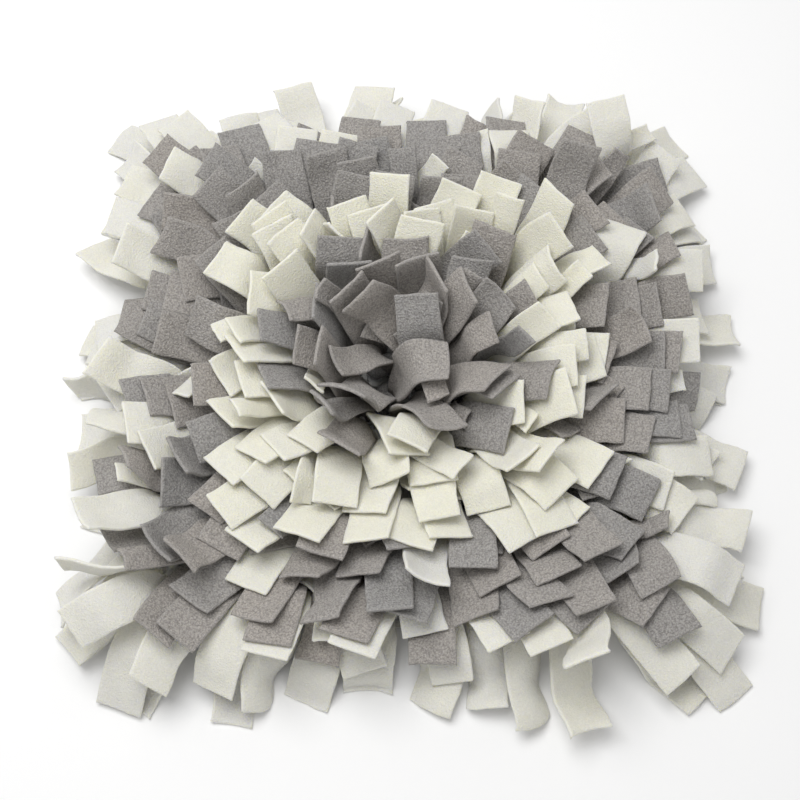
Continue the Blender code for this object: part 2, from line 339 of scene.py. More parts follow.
def laid_down(tail, tree):
    """The lowest way for a tail to lie that is clear of the tree: (sections, height), or None."""
    tries = [0]

    def free_rise(i, before, roll, lowest, highest, level):
        """(rise, roll, section) for the lowest free rise of the stretch up to section i."""
        rise = lowest
        near = corners(before, TAIL_GAP)
        while rise <= highest:
            tries[0] += 1
            if rise <= level + LEVEL_ENOUGH:
                roll = 0.0
            along, _, _ = axes(tail.yaw, rise, 0)
            middle = before.middle + along * STEPS[i] * tail.length
            made = section(tail, i, middle, rise, roll)
            if min(p.z for p in corners(made)) > -FLOOR_SLACK:
                stretch = tube([near, corners(made, TAIL_GAP)])
                if i <= tail.tied or not tree.overlap(BVHTree.FromPolygons(*stretch)):
                    return rise, roll, made
            rise += RISE_STEP
        return None

    def lay(i, made, last_rise, last_roll):
        """The sections made and those from i on, none of them in the tree."""
        if i == len(STATIONS):
            return made
        drop = (STRIP_THICK / 2 - made[-1].middle.z) / (STEPS[i] * tail.length)
        level = math.degrees(math.asin(max(-1.0, min(0.0, drop))))
        lowest = max(wish_rise(tail, i), last_rise - MOST_DOWN, level)
        highest = min(max(STEEPEST, tail.root_rise) + 2, max(last_rise + MOST_UP, lowest))
        wish_roll = tail.rolls[0] + (tail.rolls[1] - tail.rolls[0]) * STATIONS[i]
        options = []
        for turn in TURNS:
            roll = max(last_roll - MOST_TWIST, min(last_roll + MOST_TWIST, wish_roll + turn))
            found = free_rise(i, made[-1], roll, lowest, highest, level)
            if found:
                options.append((found[0] + TURN_COST * abs(turn), found))
                if found[0] <= lowest + RISE_STEP:
                    break
        for _, (rise, roll, next_one) in sorted(options, key=lambda option: option[0]):
            found = lay(i + 1, made + [next_one], rise, roll)
            if found or tries[0] > MOST_TRIES:
                return found
        return None

    root = section(tail, 0, tail.root, 90, tail.rolls[0])
    made = lay(1, [root], tail.root_rise, tail.rolls[0])
    if not made:
        return None
    wished = excess = 0.0
    for i in range(1, len(STATIONS)):
        rise = STEPS[i] * tail.length * math.sin(math.radians(wish_rise(tail, i)))
        wished = max(wished + rise, -tail.root.z)
        excess += (made[i].middle.z - tail.root.z - wished) / (len(STATIONS) - 1)
    return made, excess


def best_place(tail, tree):
    """The sections of a tail in the lowest free place near its own, or None."""
    for fit in FITS:
        best = None
        for swing in SWINGS:
            moved = tail._replace(
                yaw=tail.yaw + swing * fit.aside * tail.swing,
                root_rise=min(max(STEEPEST, tail.root_rise), tail.root_rise + fit.lift),
                width=tail.width * fit.width,
                length=tail.length * fit.length,
            )
            found = laid_down(moved, tree)
            if found:
                cost = found[1] + SWING_COST * abs(swing * tail.swing)
                if best is None or cost < best[0]:
                    best = (cost, found[0])
                if found[1] < HIGH:
                    break
        if best:
            return best[1]
    return None


def mat_block():
    """The net and its knots as one closed block, for tails to lie on."""
    half = len(RINGS) * KNOT_PITCH
    sides = ((half, -half), (half, half), (-half, half), (-half, -half))
    return tube([[Vector((x, y, z)) for x, y in sides] for z in (0, KNOT_TOP - MAT_SLACK)])


def lay_tails():
    """Lays every tail as low as the ones already down allow: the knots' tails from the outer
    ring inwards, and then the filling tails where there is room for them.

    Returns, for each ring, (sections, tied, stray) for each of its tails.
    """
    rng = random.Random(SEED)
    tails = [one for k in reversed(range(len(RINGS))) for one in tails_of(k, rng)]
    tails += middle_tails(rng) + fuller_tails(rng)
    tails += [one for c in range(1, len(RINGS)) for one in cell_tails(c, rng)]
    mat = mat_block()
    laid = []
    by_ring = [[] for _ in RINGS]
    for ring_index, tail in tails:
        points, faces = list(mat[0]), list(mat[1])
        for root, tail_points, tail_faces in laid:
            if (root - tail.root).length < NEIGHBOUR_REACH:
                faces += [tuple(i + len(points) for i in f) for f in tail_faces]
                points += tail_points
        made = best_place(tail, BVHTree.FromPolygons(points, faces))
        if made:
            laid.append((tail.root, *tube([corners(s) for s in made[tail.tied :]])))
            by_ring[ring_index].append((made, tail.tied, tail.stray))
    return by_ring


# ---- the strips as cloth

GRID_ALONG, GRID_ACROSS = 15, 5  # points of a strip's sheet while it curls
ACROSS = np.linspace(-1, 1, GRID_ACROSS)
FINE_ROWS = np.array([*np.linspace(0, 0.965, 16), 0.985, 1.0])  # and when it is finished,
FINE_COLUMNS = np.array([0.0, 0.05, 0.27, 0.5, 0.73, 0.95, 1.0])  # as shares of its sides

# the shares of a curl that are tried, from the fullest, and the one that needs no second go
CURL_SHARES = (1, 1, 1, 1, 0.8, 0.8, 0.8, 0.6, 0.6, 0.6, 0.45, 0.45, 0.3, 0.3, 0.15, 0.15)
CURL_ENOUGH = 0.5
SHEET_GAP = 0.0003
ROOT_SHARE = GATHERED_WIDTH / STRIP_WIDTH
REACH = 0.012
TWIST_FROM = 0.15  # where along a tail its twist begins,
FOLD_TO = 0.45  # its fold at the knot ends
TIP_FROM = 0.62  # and its tip's own curl begins
TIP_RADIUS = 0.016
FLATTEST = 1e-3
EDGE_THIN = 0.15  # how much thinner a cut edge is than the middle, as a share
EDGE_BULGE = 0.25
FLOOR_GAP = 0.00005


def unit(vectors):
    return vectors / np.maximum(np.linalg.norm(vectors, axis=-1, keepdims=True), 1e-9)


def smooth(x):
    x = np.clip(x, 0, 1)
    return x * x * (3 - 2 * x)


def spline(points, at, knots=STATIONS):
    """A smooth line through points at the knots, read at the values of at."""
    knots = np.array(knots)
    slopes = np.gradient(points, knots, axis=0)
    i = np.clip(np.searchsorted(knots, at, side="right") - 1, 0, len(knots) - 2)
    step = (knots[i + 1] - knots[i])[:, None]
    f = ((np.array(at) - knots[i]) / (knots[i + 1] - knots[i]))[:, None]
    h00, h10 = 2 * f**3 - 3 * f**2 + 1, f**3 - 2 * f**2 + f
    h01, h11 = -2 * f**3 + 3 * f**2, f**3 - f**2
    bent = h00 * points[i] + h10 * step * slopes[i]
    return bent + h01 * points[i + 1] + h11 * step * slopes[i + 1]


def finer(grid, rows, columns):
    """The sheets' grids read at finer rows and columns, given as shares of their length."""

    def read(values, at):
        old = np.linspace(0, 1, values.shape[0])
        flat = values.reshape(values.shape[0], -1)
        return spline(flat, at, old).reshape(len(at), *values.shape[1:])

    by_row = read(np.moveaxis(grid, 1, 0), rows)
    by_column = read(np.moveaxis(by_row, 2, 0), columns)
    return np.moveaxis(by_column, (0, 1, 2), (2, 1, 0))


def laid_grid(made, along):
    """A tail's sheet where its solid lies: (along, across, xyz), straight between sections."""
    rows = []
    for t in along:
        i = min(len(STATIONS) - 2, max(0, np.searchsorted(STATIONS, t, side="right") - 1))
        f = (t - STATIONS[i]) / (STATIONS[i + 1] - STATIONS[i])
        a, b = made[i], made[i + 1]
        middle = a.middle.lerp(b.middle, f)
        edge = (a.across * a.half_width).lerp(b.across * b.half_width, f)
        rows.append([middle + edge * u for u in ACROSS])
    return np.array(rows, float)


def square_frame(centre, across):
    """(across, normal, tangent) of a line, square to each other, from a rough across."""
    tangent = unit(np.gradient(centre, axis=0))
    across = unit(across - tangent * (across * tangent).sum(1)[:, None])
    return across, np.cross(tangent, across), tangent


def curled_grid(made, along, rng, cloth):
    """The same sheet as it would lie alone: smooth, cupped from edge to edge, its end curled."""
    centre = spline(np.array([s.middle for s in made], float), along)
    across = spline(np.array([s.across for s in made], float), along)
    across, normal, _ = square_frame(centre, across)
    reach = (along**2)[:, None]
    centre = centre + reach * (across * rng.gauss(0, cloth.sway) + normal * rng.gauss(0, cloth.sway))
    across, normal, tangent = square_frame(centre, across)
    shown = np.interp(along, STATIONS, WIDTH_SHOWN)
    half = made[-1].half_width * (ROOT_SHARE + (1 - ROOT_SHARE) * shown)
    twist = math.radians(rng.gauss(0, cloth.twist)) * smooth((along - TWIST_FROM) / (1 - TWIST_FROM))
    cos_t, sin_t = np.cos(twist)[:, None], np.sin(twist)[:, None]
    across, normal = across * cos_t + normal * sin_t, normal * cos_t - across * sin_t
    cup = math.radians(cloth.cupping) * rng.uniform(0.35, 1.0) * rng.choice((-1, 1, 1))
    tip_cup = math.radians(cloth.cupping) * rng.uniform(-0.7, 0.7)
    to_tip = smooth(along * 1.1)
    angle = cup * (1 - to_tip) + tip_cup * to_tip
    angle += np.sign(cup) * math.radians(cloth.root_fold) * (1 - smooth(along / FOLD_TO))
    skew = math.tan(math.radians(rng.gauss(0, cloth.end_skew))) * half[-1]
    lip = rng.gauss(0, 1) * math.radians(cloth.tip_curl)
    corner = rng.choice((0, 0, -1, 1)) * rng.uniform(0.3, 1.0) * cloth.corner_curl
    rows = []
    for i, t in enumerate(along):
        phi = angle[i] if abs(angle[i]) > FLATTEST else FLATTEST
        radius = half[i] * 2 / phi
        theta = ACROSS * phi / 2
        side = radius * np.sin(theta)
        rise = radius * (np.cos(theta) - 1 + (1 - math.cos(phi / 2)) * 0.5)
        row = centre[i] + side[:, None] * across[i] + rise[:, None] * normal[i]
        near_tip = smooth((t - TIP_FROM) / (1 - TIP_FROM))
        row += (ACROSS * skew * near_tip)[:, None] * tangent[i]
        turned_up = np.clip(ACROSS * np.sign(corner), 0, 1) ** 2
        lift = lip * near_tip**2 * TIP_RADIUS + corner * near_tip**2 * turned_up
        row += lift[:, None] * normal[i]
        rows.append(row)
    return np.array(rows, float)


def two_faces(sheet, half):
    """The points of a sheet's top and bottom faces, half a thickness off its middle."""
    normal = unit(np.cross(unit(np.gradient(sheet, axis=0)), unit(np.gradient(sheet, axis=1))))
    faces = [(sheet + normal * half).reshape(-1, 3), (sheet - normal * half).reshape(-1, 3)]
    return np.concatenate(faces).tolist()


def sheet_quads(first_row):
    """The quads of both faces of a sheet, from a row on."""
    quads = []
    for face in range(2):
        for a in range(first_row, GRID_ALONG - 1):
            for c in range(GRID_ACROSS - 1):
                k = (face * GRID_ALONG + a) * GRID_ACROSS + c
                quads.append((k, k + 1, k + GRID_ACROSS + 1, k + GRID_ACROSS))
    return quads


# a sheet's rows beyond the sections that its knot holds
FREE_QUADS = {
    tied: sheet_quads(1 + math.floor(STATIONS[tied] * (GRID_ALONG - 1)))
    for tied in (TIED, MIDDLE_TIED)
}


def curl_freely(by_ring, along, rng, cloth):
    """Every tail's sheet, curled as far as it can be without cutting into its neighbours."""
    made = [sections for tails in by_ring for sections, _, _ in tails]
    free = [FREE_QUADS[tied] for tails in by_ring for _, tied, _ in tails]
    sheets = [laid_grid(sections, along) for sections in made]
    half = (STRIP_THICK + SHEET_GAP) / 2
    faces = [two_faces(sheet, half) for sheet in sheets]
    floor = STRIP_THICK / 2 + MAT_SLACK
    edge_of_mat = len(RINGS) * KNOT_PITCH
    kept = [0.0] * len(made)
    for i in (*range(len(made)), *range(len(made))):
        if kept[i] > CURL_ENOUGH:
            continue
        flat = laid_grid(made[i], along)
        lo, hi = sheets[i].min((0, 1)) - REACH, sheets[i].max((0, 1)) + REACH
        near_points, near_faces = [], []
        for j, points in enumerate(faces):
            other = sheets[j]
            if j != i and (other.max((0, 1)) > lo).all() and (other.min((0, 1)) < hi).all():
                near_faces += [tuple(k + len(near_points) for k in quad) for quad in free[j]]
                near_points += points
        tree = BVHTree.FromPolygons(near_points, near_faces)
        for share in CURL_SHARES:
            if share <= kept[i]:
                break
            curled = curled_grid(made[i], along, rng, cloth)
            curled = curled * share + flat * (1 - share)
            curled[..., 2] = np.maximum(curled[..., 2], floor)
            beyond = curled[2:]
            over_mat = np.abs(beyond[..., :2]).max(-1) < edge_of_mat
            if (beyond[over_mat][:, 2] < KNOT_TOP).any():
                continue
            points = two_faces(curled, half)
            if not tree.overlap(BVHTree.FromPolygons(points, free[i])):
                sheets[i], faces[i], kept[i] = curled, points, share
                break
    return np.array(sheets)


def cut_edges(fine, cloth):
    """Makes the long edges and the ends of the finished sheets a little uneven."""
    waves = np.random.default_rng(cloth.seed)
    over = unit(np.gradient(fine, axis=2))
    down = unit(np.gradient(fine, axis=1))
    count, along, across, _ = fine.shape
    for side, column in ((-1, 0), (1, across - 1)):
        wave = waves.normal(0, cloth.edge_wave, (count, along))
        wave = (wave + np.roll(wave, 1, axis=1)) / 1.4
        fine[:, 2:, column] += side * over[:, 2:, column] * wave[:, 2:, None]
    ragged = waves.normal(0, cloth.edge_wave, (count, across))
    fine[:, -1] += down[:, -1] * ragged[..., None]


def thick_strips(name, sheets, half_thick, shades):
    """One mesh of closed soft-edged strips from their middle sheets."""
    count, along, across, _ = sheets.shape
    down = unit(np.gradient(sheets, axis=1))
    over = unit(np.gradient(sheets, axis=2))
    normal = unit(np.cross(down, over))
    edge = np.zeros((along, across))
    edge[0, :] = edge[-1, :] = edge[:, 0] = edge[:, -1] = 1
    half = half_thick[:, :, None, None] * (1 - EDGE_THIN * edge)[None, :, :, None]
    top, bottom = sheets + normal * half, sheets - normal * half
    loop = [(0, c) for c in range(across)] + [(a, across - 1) for a in range(1, along)]
    loop += [(along - 1, c) for c in range(across - 2, -1, -1)]
    loop += [(a, 0) for a in range(along - 2, 0, -1)]
    la, lc = np.array(loop).T
    out_down = ((la == along - 1) * 1.0 - (la == 0))[None, :, None]
    out_over = ((lc == across - 1) * 1.0 - (lc == 0))[None, :, None]
    away = unit(down[:, la, lc] * out_down + over[:, la, lc] * out_over)
    rim = sheets[:, la, lc] + away * (half_thick[:, la, None] * EDGE_BULGE)
    size = along * across
    points = np.concatenate([top.reshape(count, -1, 3), bottom.reshape(count, -1, 3), rim], axis=1)
    each = points.shape[1]
    quads = []
    for a in range(along - 1):
        for c in range(across - 1):
            k = a * across + c
            quads.append((k, k + across, k + across + 1, k + 1))
            quads.append((size + k, size + k + 1, size + k + across + 1, size + k + across))
    flat_loop = la * across + lc
    for n in range(len(loop)):
        m = (n + 1) % len(loop)
        i, j, r, q = flat_loop[n], flat_loop[m], 2 * size + n, 2 * size + m
        quads += [(i, j, q, r), (r, q, size + j, size + i)]
    faces = (np.arange(count)[:, None, None] * each + np.array(quads)[None]).reshape(-1, 4)
    mesh = bpy.data.meshes.new(name)
    mesh.from_pydata(points.reshape(-1, 3).tolist(), [], faces.tolist())
    mesh.shade_smooth()
    # the edges, thinner above, where the fleece material paints a highlight
    edge_of = np.concatenate([edge.reshape(-1), edge.reshape(-1), np.ones(len(loop))])
    add_values(mesh, "edge", np.tile(edge_of, count))
    add_values(mesh, "shade", np.repeat(shades, each))
    made = bpy.data.objects.new(name, mesh)
    bpy.context.scene.collection.objects.link(made)
    return made


def add_values(mesh, name, values):
    attribute = mesh.attributes.new(name, "FLOAT", "POINT")
    attribute.data.foreach_set("value", np.asarray(values, np.float32))


# ---- nodes

NODE_STEP = 200


def wire(tree, socket, value):
    """Links a socket to a node or another socket, or sets its value."""
    if isinstance(value, bpy.types.Node):
        value = next(output for output in value.outputs if output.enabled)
    if isinstance(value, bpy.types.NodeSocket):
        tree.links.new(value, socket)
    else:
        socket.default_value = value


def add_node(tree, kind, **values):
    """A node of a kind, its settings and its sockets given by name."""
    node = tree.nodes.new(kind)
    node.location = (NODE_STEP * len(tree.nodes), 0)
    for key, value in values.items():
        if hasattr(node, key):
            setattr(node, key, value)
            continue
        label = key.replace("_", " ")
        wire(tree, next(s for s in node.inputs if s.name == label and s.enabled), value)
    return node


def math_node(tree, operation, *values):
    node = add_node(tree, "ShaderNodeMath", operation=operation)
    for socket, value in zip(node.inputs, values):
        wire(tree, socket, value)
    return node


def mix(tree, factor, a, b, blend="MIX"):
    """A colour between two, each given as (red, green, blue) or as a node."""
    a, b = ((*c, 1) if isinstance(c, tuple) else c for c in (a, b))
    settings = {"data_type": "RGBA", "blend_type": blend}
    return add_node(tree, "ShaderNodeMix", **settings, Factor=factor, A=a, B=b)


def remap(tree, value, low, high, to_low=0.0, to_high=1.0):
    ends = {"From_Min": low, "From_Max": high, "To_Min": to_low, "To_Max": to_high}
    return add_node(tree, "ShaderNodeMapRange", Value=value, **ends)


def add_sockets(tree, side, *sockets):
    """Adds a tree's inputs or outputs, each given as (label, kind, default)."""
    for label, kind, default in sockets:
        socket = tree.interface.new_socket(label, in_out=side, socket_type="NodeSocket" + kind)
        if default is not None:
            socket.default_value = default


# ---- materials

TUFT_DETAIL = {"Detail": 2.0, "Roughness": 0.62, "Distortion": 0.4}
PILLS_PER_TUFT = 0.62
NAP_SCALE = 110.0
NAP_HEIGHT = 0.06
BUMP_DEPTH = 0.0007
# painted highlight on the cut edges: its share there, and how much lighter it is than the fleece
EDGE_HIGHLIGHT_SHARE = 0.35
EDGE_HIGHLIGHT_LIGHTER = 1.16
GLOW_REACH = (0.0035, 0.0032, 0.0016)

# how each fleece differs: the share of its pills, the contrast and the depth of its pile, how
# much light goes through it, and the two tints between which its strips lie
Fleece = namedtuple("Fleece", "pilling contrast bump glow cool warm")
FLEECES = {
    "grey": Fleece(0.5, 0.42, 1.0, 0.05, (0.90, 0.91, 0.92), (1.07, 1.03, 0.99)),
    "cream": Fleece(0.45, 0.055, 0.7, 0.35, (0.92, 0.93, 0.99), (1.0, 1.0, 0.965)),
}


def times(colour, share):
    return tuple(min(1.0, c * share) for c in colour)


def principled(name, colour, **values):
    """(material, its tree, its shader), with the shader's sockets set by name."""
    made = bpy.data.materials.new(name)
    made.use_nodes = True
    made.diffuse_color = (*colour, 1)
    shader = made.node_tree.nodes["Principled BSDF"]
    for key, value in values.items():
        shader.inputs[key.replace("_", " ")].default_value = value
    return made, made.node_tree, shader


def fleece_pile():
    """A group for brushed, pilled fleece: Mottle, 0 in its pits to 1 on its tufts, the slower
    Nap, and Height."""
    name = "fleece pile"
    if name in bpy.data.node_groups:
        return bpy.data.node_groups[name]
    tree = bpy.data.node_groups.new(name, "ShaderNodeTree")
    add_sockets(tree, "INPUT", ("Tuft Size", "Float", 0.0011), ("Pilling", "Float", 0.6))
    add_sockets(tree, "OUTPUT", *((label, "Float", None) for label in ("Mottle", "Nap", "Height")))
    given = add_node(tree, "NodeGroupInput").outputs
    place = add_node(tree, "ShaderNodeTexCoord").outputs["Object"]
    scale = math_node(tree, "DIVIDE", 1.0, given["Tuft Size"])
    tufts = add_node(tree, "ShaderNodeTexNoise", Vector=place, Scale=scale, **TUFT_DETAIL)
    pill_scale = math_node(tree, "MULTIPLY", scale, PILLS_PER_TUFT)
    pills = add_node(tree, "ShaderNodeTexVoronoi", feature="F1", Vector=place, Scale=pill_scale)
    nap = add_node(tree, "ShaderNodeTexNoise", Vector=place, Scale=NAP_SCALE, Detail=2.0)
    nap = remap(tree, nap, 0.3, 0.7)
    sharp, lumps = remap(tree, tufts, 0.34, 0.66), remap(tree, pills, 0.15, 0.75, 1.0, 0.0)
    shares = {"Factor": given["Pilling"], "A": sharp, "B": lumps}
    mottle = add_node(tree, "ShaderNodeMix", data_type="FLOAT", **shares)
    height = math_node(tree, "MULTIPLY_ADD", nap, NAP_HEIGHT, mottle)
    add_node(tree, "NodeGroupOutput", Mottle=mottle, Nap=nap, Height=height)
    return tree


def fleece_material(name, colour, tuft_size, fleece):
    """Polar fleece: mottled by its pile, with a painted highlight along its cut edges, and soft at
    grazing angles.
    """
    sheen = {"Sheen_Weight": 0.10, "Sheen_Roughness": 0.45}
    glow = {"Subsurface_Weight": fleece.glow, "Subsurface_Radius": GLOW_REACH, "Subsurface_Scale": 1.0}
    matt = {"Roughness": 0.95, "Specular_IOR_Level": 0.15}
    made, tree, shader = principled(name, colour, **matt, **sheen, **glow)
    pile = add_node(tree, "ShaderNodeGroup", node_tree=fleece_pile())
    for label, value in (("Tuft Size", tuft_size), ("Pilling", fleece.pilling)):
        pile.inputs[label].default_value = value
    shade, edge = (
        add_node(tree, "ShaderNodeAttribute", attribute_name=value).outputs["Fac"]
        for value in ("shade", "edge")
    )
    dark, light = times(colour, 1 - fleece.contrast), times(colour, 1 + fleece.contrast)
    mottled = mix(tree, pile.outputs["Mottle"], dark, light)
    tinted = mix(tree, 1.0, mottled, mix(tree, shade, fleece.cool, fleece.warm), "MULTIPLY")
    nap = remap(tree, pile.outputs["Nap"], 0.0, 1.0, 0.975, 1.02)
    brushed = mix(tree, 1.0, tinted, nap, "MULTIPLY")
    # painted highlight: the cut edges are made lighter, as where light catches their fuzz
    cut = mix(tree, math_node(tree, "MULTIPLY", edge, EDGE_HIGHLIGHT_SHARE), brushed, times(colour, EDGE_HIGHLIGHT_LIGHTER))
    wire(tree, shader.inputs["Base Color"], cut)
    depth = {"Strength": fleece.bump, "Distance": BUMP_DEPTH, "Height": pile.outputs["Height"]}
    wire(tree, shader.inputs["Normal"], add_node(tree, "ShaderNodeBump", **depth))
    return made


def net_material(name, colour):
    """Matt off-white cord or plastic of the net, faintly uneven."""
    made, tree, shader = principled(name, colour, Roughness=0.6)
    place = add_node(tree, "ShaderNodeTexCoord").outputs["Object"]
    noise = add_node(tree, "ShaderNodeTexNoise", Vector=place, Scale=300.0, Detail=2.0)
    wire(tree, shader.inputs["Base Color"], mix(tree, noise, times(colour, 0.86), colour))
    bump = add_node(tree, "ShaderNodeBump", Strength=0.4, Distance=0.0003, Height=noise)
    wire(tree, shader.inputs["Normal"], bump)
    return made


def fleece_of(colour_name):
    """The material of the grey or the cream fleece, made once."""
    name = f"pile_{colour_name}"
    if name in bpy.data.materials:
        return bpy.data.materials[name]
    cloth = bpy.context.scene.mat_fleece
    colour = tuple(getattr(cloth, colour_name))
    return fleece_material(name, colour, cloth.tuft_size, FLEECES[colour_name])


# ---- repeated pieces, in nodes

KNOT = {"Size": 0.0036, "Strand Radius": 0.0046, "Flatness": 0.5, "Seed": 5}
BIGHT = {"Half Span": 0.0068, "Drop": 0.0052, "Half Width": 0.0058, "Half Thickness": 0.0010}


def node_tree(name, sizes):
    """(tree, adder of nodes, adder of sums, given values) for geometry made from sizes."""
    tree = bpy.data.node_groups.new(name, "GeometryNodeTree")
    tree.is_modifier = True
    geometry, dress = ("Geometry", "Geometry", None), ("Material", "Material", None)
    inputs = ((label, "Int" if isinstance(x, int) else "Float", x) for label, x in sizes.items())
    add_sockets(tree, "INPUT", geometry, *inputs, dress)
    add_sockets(tree, "OUTPUT", geometry)
    node = partial(add_node, tree)
    return tree, node, partial(math_node, tree), node("NodeGroupInput").outputs


def finish_tree(tree, geometry, material):
    """Ends a tree in Realize Instances and Set Material."""
    real = add_node(tree, "GeometryNodeRealizeInstances", Geometry=geometry)
    dress = add_node(tree, "GeometryNodeSetMaterial", Geometry=real, Material=material)
    add_node(tree, "NodeGroupOutput", Geometry=dress)


def sweep_on_spots(tree, given, curve, profile, turned, capped):
    """Ends a tree in a profile swept along a curve, on every spot and turned about its upright."""
    sweep = {"Curve": curve, "Profile_Curve": profile, "Fill_Caps": capped}
    strand = add_node(tree, "GeometryNodeCurveToMesh", **sweep)
    soft = add_node(tree, "GeometryNodeSetShadeSmooth", Geometry=strand)
    rotation = add_node(tree, "ShaderNodeCombineXYZ", Z=turned)
    at = {"Points": given["Geometry"], "Rotation": rotation}
    put = add_node(tree, "GeometryNodeInstanceOnPoints", Instance=soft, **at)
    finish_tree(tree, put, given["Material"])


def made_by(tree, name, spots, dress):
    """A plain mesh object from a tree on a mesh of spots, in the material given."""
    base = bpy.data.meshes.new("spots")
    base.from_pydata(spots, [], [])
    holder = bpy.data.objects.new(name, base)
    bpy.context.scene.collection.objects.link(holder)
    modifier = holder.modifiers.new("made", "NODES")
    modifier.node_group = tree
    sockets = {item.name: item.identifier for item in tree.interface.items_tree}
    modifier[sockets["Material"]] = dress
    bpy.context.view_layer.update()
    evaluated = holder.evaluated_get(bpy.context.evaluated_depsgraph_get())
    mesh = bpy.data.meshes.new_from_object(evaluated)
    holder.modifiers.clear()
    holder.data = mesh
    mesh.name = name
    return holder


def net_tree(sizes):
    """A square net: a flat grid with every second cell of every second row cut out."""
    tree, node, calc, given = node_tree("square net", sizes)
    openings, side, bar = given["Openings"], given["Side"], given["Bar Width"]
    lines = calc("MULTIPLY_ADD", openings, 2.0, 2.0)
    grid = node("GeometryNodeMeshGrid", Size_X=1.0, Size_Y=1.0, Vertices_X=lines, Vertices_Y=lines)
    # each line goes to one edge of a bar: pairs of lines stand a bar's width apart
    place = node("ShaderNodeSeparateXYZ", Vector=node("GeometryNodeInputPosition"))
    cells = calc("MULTIPLY_ADD", openings, 2.0, 1.0)
    pitch = calc("DIVIDE", calc("SUBTRACT", side, bar), openings)
    placed = []
    for share in place.outputs[:2]:
        number = calc("ROUND", calc("MULTIPLY", calc("ADD", share, 0.5), cells))
        pair = calc("FLOOR", calc("MULTIPLY", number, 0.5))
        odd = calc("SUBTRACT", number, calc("MULTIPLY", pair, 2.0))
        start = calc("MULTIPLY_ADD", side, -0.5, calc("MULTIPLY", pair, pitch))
        placed.append(calc("MULTIPLY_ADD", odd, bar, start))
    spot = node("ShaderNodeCombineXYZ", X=placed[0], Y=placed[1], Z=given["Underside"])
    spread = node("GeometryNodeSetPosition", Geometry=grid, Position=spot)
    # a cell is an opening where it lies between two bars both ways
    number = node("GeometryNodeInputIndex")
    row = calc("FLOOR", calc("DIVIDE", calc("ADD", number, 0.5), cells))
    column = calc("SUBTRACT", number, calc("MULTIPLY", row, cells))
    open_both_ways = (calc("FLOORED_MODULO", part, 2.0) for part in (row, column))
    hole = calc("GREATER_THAN", calc("MULTIPLY", *open_both_ways), 0.5)
    flat = node("GeometryNodeDeleteGeometry", domain="FACE", Geometry=spread, Selection=hole)
    up = given["Thickness"]
    raised = node("GeometryNodeExtrudeMesh", mode="FACES", Mesh=flat, Individual=False, Offset_Scale=up)
    turned = node("GeometryNodeFlipFaces", Mesh=flat)
    whole = node("GeometryNodeJoinGeometry")
    for half in (turned, raised):
        wire(tree, whole.inputs[0], half)
    merged = node("GeometryNodeMergeByDistance", Geometry=whole, Distance=0.00001)
    finish_tree(tree, merged, given["Material"])
    return tree


def knot_tree():
    """A tight fleece knot on every spot, turned at random from a fixed seed."""
    tree, node, calc, given = node_tree("fleece knots", KNOT)
    # a trefoil
    turn = calc("MULTIPLY", node("GeometryNodeSplineParameter"), math.tau)
    twice = calc("MULTIPLY", turn, 2.0)
    x = calc("MULTIPLY_ADD", calc("SINE", twice), 2.0, calc("SINE", turn))
    y = calc("MULTIPLY_ADD", calc("COSINE", twice), -2.0, calc("COSINE", turn))
    z = calc("MULTIPLY", calc("SINE", calc("MULTIPLY", turn, 3.0)), -1.0)
    x, y, z = (calc("MULTIPLY", part, given["Size"]) for part in (x, y, z))
    z = calc("MULTIPLY", z, given["Flatness"])
    spot = node("ShaderNodeCombineXYZ", X=x, Y=y, Z=z)
    circle = partial(node, "GeometryNodeCurvePrimitiveCircle", mode="RADIUS")
    looped = node("GeometryNodeSetPosition", Geometry=circle(Resolution=15), Position=spot)
    profile = circle(Resolution=5, Radius=given["Strand Radius"])
    seed = given["Seed"]
    spin = node("FunctionNodeRandomValue", data_type="FLOAT", Min=0.0, Max=math.tau, Seed=seed)
    sweep_on_spots(tree, given, looped, profile, spin, False)
    return tree


def bight_tree():
    """A strip's middle where it passes under a bar of the net, on every spot."""
    tree, node, calc, given = node_tree("strip bights", BIGHT)
    half_turn = {"Radius": 1.0, "Start_Angle": math.pi, "Sweep_Angle": math.pi}
    x, y, _ = node("ShaderNodeSeparateXYZ", Vector=node("GeometryNodeInputPosition")).outputs
    # a flat-bottomed loop
    height = calc("MULTIPLY", calc("MAXIMUM", y, -0.86), 1.16)
    x, z = calc("MULTIPLY", x, given["Half Span"]), calc("MULTIPLY", height, given["Drop"])
    arc = node("GeometryNodeCurveArc", mode="RADIUS", Resolution=9, **half_turn)
    spot = node("ShaderNodeCombineXYZ", X=x, Z=z)
    bent = node("GeometryNodeSetPosition", Geometry=arc, Position=spot)
    profile = node("GeometryNodeCurvePrimitiveCircle", mode="RADIUS", Resolution=8, Radius=1.0)
    stretch = node("ShaderNodeCombineXYZ", X=given["Half Width"], Y=given["Half Thickness"], Z=1.0)
    flat = node("GeometryNodeTransform", Geometry=profile, Scale=stretch)
    sweep_on_spots(tree, given, bent, flat, 0.0, True)
    return tree


# ---- the settings

Length = partial(FloatProperty, subtype="DISTANCE")
Colour = partial(FloatVectorProperty, subtype="COLOR", min=0, max=1)


